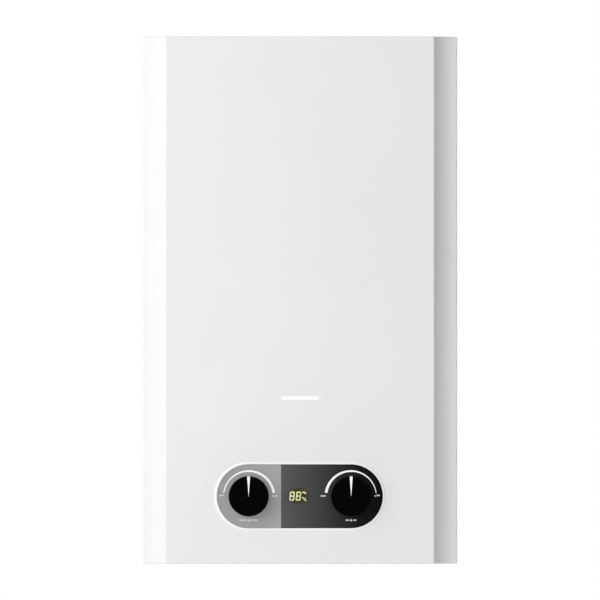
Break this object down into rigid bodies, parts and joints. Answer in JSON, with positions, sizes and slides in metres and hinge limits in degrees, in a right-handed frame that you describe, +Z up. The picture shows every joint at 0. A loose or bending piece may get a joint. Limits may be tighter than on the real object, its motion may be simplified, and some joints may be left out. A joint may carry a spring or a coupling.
{
  "type": "wall-hung gas water heater",
  "caption": "Upright white sheet-metal gas water heater with hollow side coves, a slim sight window and a pill-shaped panel with two pointer knobs.",
  "frame": {"origin": "middle of the wall side of the back plate, on the wall plane, half-way up the casing", "axes": "+Z up, +Y into the wall, +X to the right of someone who faces the front; the front panel and knobs face -Y"},
  "size_m": [0.3284, 0.176, 0.55],
  "materials": {
    "white_enamel": "satin powder coat",
    "galvanised_steel": "matt zinc",
    "stainless_steel": "satin",
    "plated_steel": "zinc or nickel plated",
    "white_plastic": "gloss",
    "silver_plastic": "satin metallic paint",
    "smoked_acrylic": "polished",
    "black_plastic": "satin",
    "white_inlay": "satin",
    "milky_lens": "frosted",
    "display_plastic": "matt",
    "circuit_board": "solder mask",
    "copper": "heat-tinted copper",
    "cast_aluminium": "as cast",
    "brass": "machined",
    "black_rubber": "moulded",
    "ceramic": "glazed",
    "silicone_red": "silicone sleeve",
    "grey_plastic": "moulded",
    "blue_plastic": "moulded",
    "cell_jacket": "printed foil"
  },
  "bodies": {
    "heater": {"front_cover": "white_enamel", "back_plate": "galvanised_steel", "bottom_panel": "galvanised_steel", "cover_screws": "plated_steel", "exhaust_grille": "galvanised_steel", "draft_hood": "galvanised_steel", "panel_bezel": "white_plastic", "fascia_silver": "silver_plastic", "fascia_dark": "smoked_acrylic", "display_module": "display_plastic", "display_board": "circuit_board", "sight_window": "milky_lens", "combustion_chamber": "copper", "fin_pack": "copper", "finned_tube": "copper", "cold_pipe_coil": "copper", "hot_pipe": "copper", "mounting_brackets": "galvanised_steel", "temperature_sensors": "black_plastic", "burner_frame": "galvanised_steel", "burner_blades": "stainless_steel", "gas_manifold": "cast_aluminium", "gas_injectors": "brass", "electrodes": "ceramic", "electrode_leads": "silicone_red", "gas_valve_body": "cast_aluminium", "water_valve_body": "brass", "diaphragm_cover": "brass", "rubber_seals": "black_rubber", "valve_screws": "plated_steel", "gas_spring": "plated_steel", "microswitch": "black_plastic", "solenoid_coil": "plated_steel", "brass_nuts": "brass", "gas_inlet": "brass", "cold_inlet": "brass", "hot_outlet": "brass", "inlet_filter": "grey_plastic", "drain_valve_body": "brass", "battery_box": "grey_plastic", "battery_cells": "cell_jacket", "battery_contacts": "plated_steel", "igniter_case": "black_plastic", "igniter_lid": "black_plastic", "wire_harness": "black_rubber"},
    "gas_knob_set": {"gas_knob": "black_plastic", "gas_knob_pointer": "white_inlay", "gas_spindle": "brass"},
    "water_knob_set": {"water_knob": "black_plastic", "water_knob_pointer": "white_inlay", "water_spindle": "brass"},
    "water_needle_body": {"water_needle": "brass"},
    "valve_rod_set": {"valve_rod": "plated_steel", "gas_disc": "black_rubber"},
    "switch_lever_body": {"switch_lever": "plated_steel"},
    "switch_button_body": {"switch_button": "silicone_red"},
    "solenoid_plunger_body": {"solenoid_plunger": "plated_steel"},
    "drain_knob_body": {"drain_knob": "blue_plastic"},
    "battery_door_set": {"battery_door": "white_plastic", "door_contact": "plated_steel"}
  },
  "joints": [
    {"name": "gas_knob_turn", "type": "hinge", "parent": "heater", "child": "gas_knob_set", "pos_m": [-0.0534, -0.165, -0.2045], "axis": [0, 1, 0], "range_deg": [-90, 90]},
    {"name": "water_knob_turn", "type": "hinge", "parent": "heater", "child": "water_knob_set", "pos_m": [0.0534, -0.165, -0.2045], "axis": [0, 1, 0], "range_deg": [-90, 90]},
    {"name": "water_needle_slide", "type": "slide", "parent": "heater", "child": "water_needle_body", "axis": [0, 1, 0], "range_m": [-0.0015, 0.0015]},
    {"name": "valve_rod_slide", "type": "slide", "parent": "heater", "child": "valve_rod_set", "axis": [-1, 0, 0], "range_m": [0, 0.004], "stiffness_N_per_m": 800, "springref_m": -0.006, "deforming": ["gas_spring"]},
    {"name": "switch_lever_swing", "type": "hinge", "parent": "heater", "child": "switch_lever_body", "pos_m": [-0.0128, -0.078, -0.173], "axis": [0, 1, 0], "range_deg": [0, 9.1]},
    {"name": "switch_button_press", "type": "slide", "parent": "heater", "child": "switch_button_body", "axis": [-1, 0, 0], "range_m": [0, 0.0021]},
    {"name": "solenoid_plunger_slide", "type": "slide", "parent": "heater", "child": "solenoid_plunger_body", "axis": [-1, 0, 0], "range_m": [0, 0.003], "stiffness_N_per_m": 500, "springref_m": -0.004},
    {"name": "drain_knob_turn", "type": "hinge", "parent": "heater", "child": "drain_knob_body", "pos_m": [0.04, -0.078, -0.25], "axis": [0, 0, -1], "range_deg": [0, 270]},
    {"name": "battery_door_swing", "type": "hinge", "parent": "heater", "child": "battery_door_set", "pos_m": [0.1285, -0.0466, -0.2436], "axis": [1, 0, 0], "range_deg": [0, 95]}
  ],
  "couplings": [
    {"joint": "water_needle_slide", "follows": "water_knob_turn", "m_per_rad": 0.000954},
    {"joint": "switch_lever_swing", "follows": "valve_rod_slide", "rad_per_m": 39.2},
    {"joint": "switch_button_press", "follows": "valve_rod_slide", "ratio": 0.51}
  ]
}
